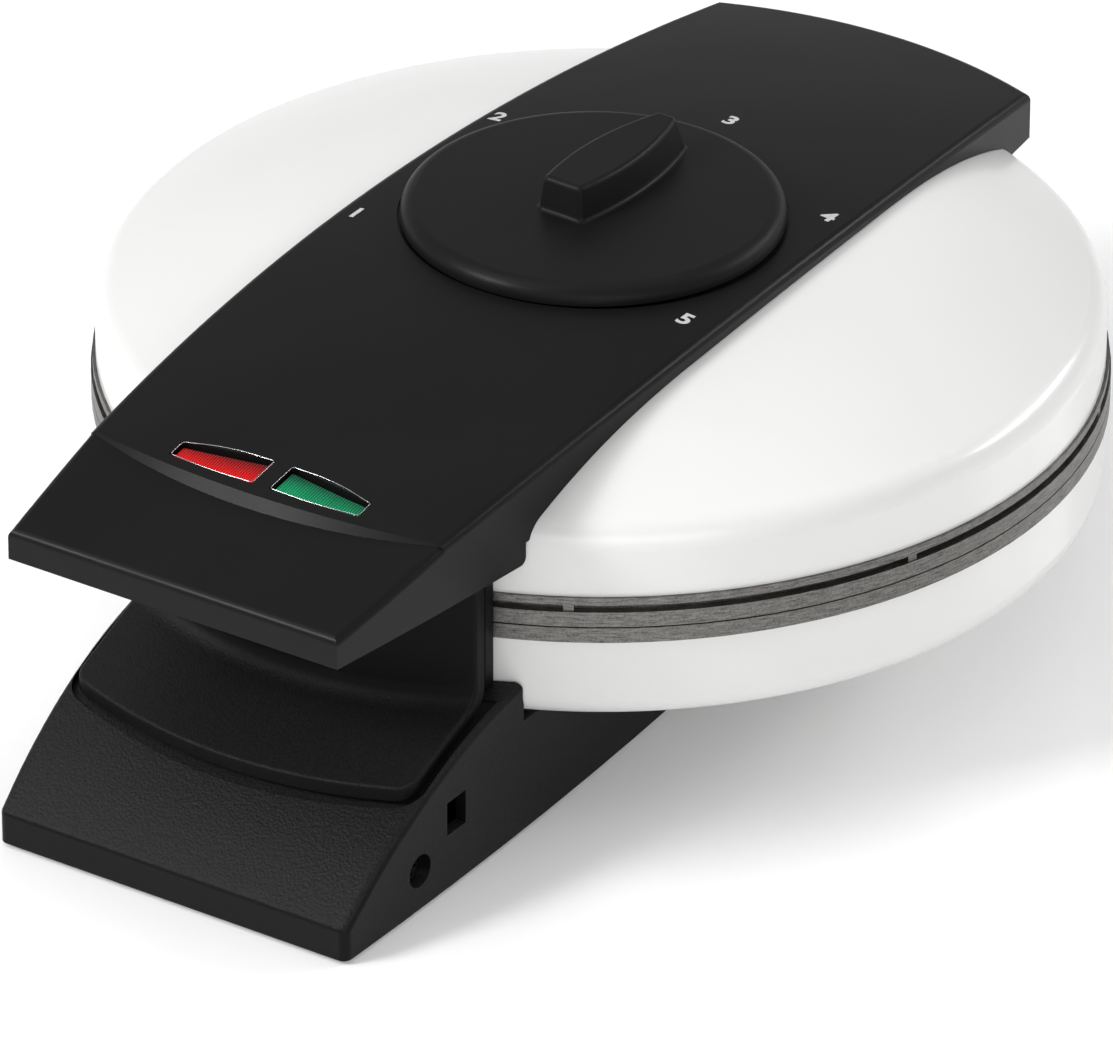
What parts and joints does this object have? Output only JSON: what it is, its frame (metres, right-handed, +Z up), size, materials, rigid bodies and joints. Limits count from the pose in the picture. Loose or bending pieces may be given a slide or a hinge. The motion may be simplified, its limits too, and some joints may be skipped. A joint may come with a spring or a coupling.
{
  "type": "stroopwafel maker",
  "caption": "Round electric stroopwafel iron: hinged white lid under an arched black handle band with dial and indicator lenses, on a black base with a rocking latch.",
  "frame": {"origin": "centre of the bounding box in plan, on the surface that the rubber feet stand on", "axes": "+Z up, -Y towards the handle and the user, +X to the user's right; the machine is symmetric about X = 0"},
  "size_m": [0.2172, 0.282, 0.1023],
  "materials": {
    "housing": "black plastic with a leather-like grain",
    "cover": "plain black plastic",
    "band": "black satin plastic",
    "knob": "soft matt black plastic",
    "enamel": "white high-gloss stoved paint on steel",
    "plate": "cast aluminium, turned at the rim",
    "element": "dull steel heater tube",
    "steel": "plain zinc-plated steel",
    "thermostat": "ceramic-filled plastic body",
    "terminal": "off-white plastic",
    "red": "clear red plastic",
    "green": "clear green plastic",
    "bezel": "bright silver plastic frame",
    "board": "brown paper laminate",
    "lamp": "neon lamp glass",
    "foot": "black rubber"
  },
  "bodies": {
    "base": {"base_housing": "housing", "base_cover": "cover", "rubber_feet": "foot", "base_screws": "steel", "side_screws": "steel", "lower_shell": "enamel", "lower_baking_plate": "plate", "lower_heating_element": "element", "lower_plate_studs": "steel", "hinge_pin": "steel", "latch_pin": "steel", "cord_gland": "cover", "terminal_block": "terminal"},
    "lid": {"handle_band": "band", "handle_undercover": "cover", "upper_shell": "enamel", "upper_baking_plate": "plate", "upper_heating_element": "element", "upper_plate_studs": "steel", "thermostat": "thermostat", "thermostat_bracket": "steel", "red_lens": "red", "green_lens": "green", "lamp_holder": "board", "indicator_lamps": "lamp", "catch_bar": "steel", "undercover_screws": "steel", "band_screws": "steel", "window_bezels": "bezel"},
    "knob": {"knob": "knob", "knob_spindle": "steel"},
    "latch": {"latch_lever": "band"}
  },
  "joints": [
    {"name": "lid_hinge", "type": "hinge", "parent": "base", "child": "lid", "pos_m": [0, 0.135, 0.0625], "axis": [-1, 0, 0], "range_deg": [0, 100]},
    {"name": "latch", "type": "hinge", "parent": "base", "child": "latch", "pos_m": [0, -0.1023, 0.0175], "axis": [-1, 0, 0], "range_deg": [0, 3.4]},
    {"name": "knob_turn", "type": "hinge", "parent": "lid", "child": "knob", "pos_m": [0, 0.0175, 0.09], "axis": [0, 0, 1], "range_deg": [-120, 120]}
  ]
}
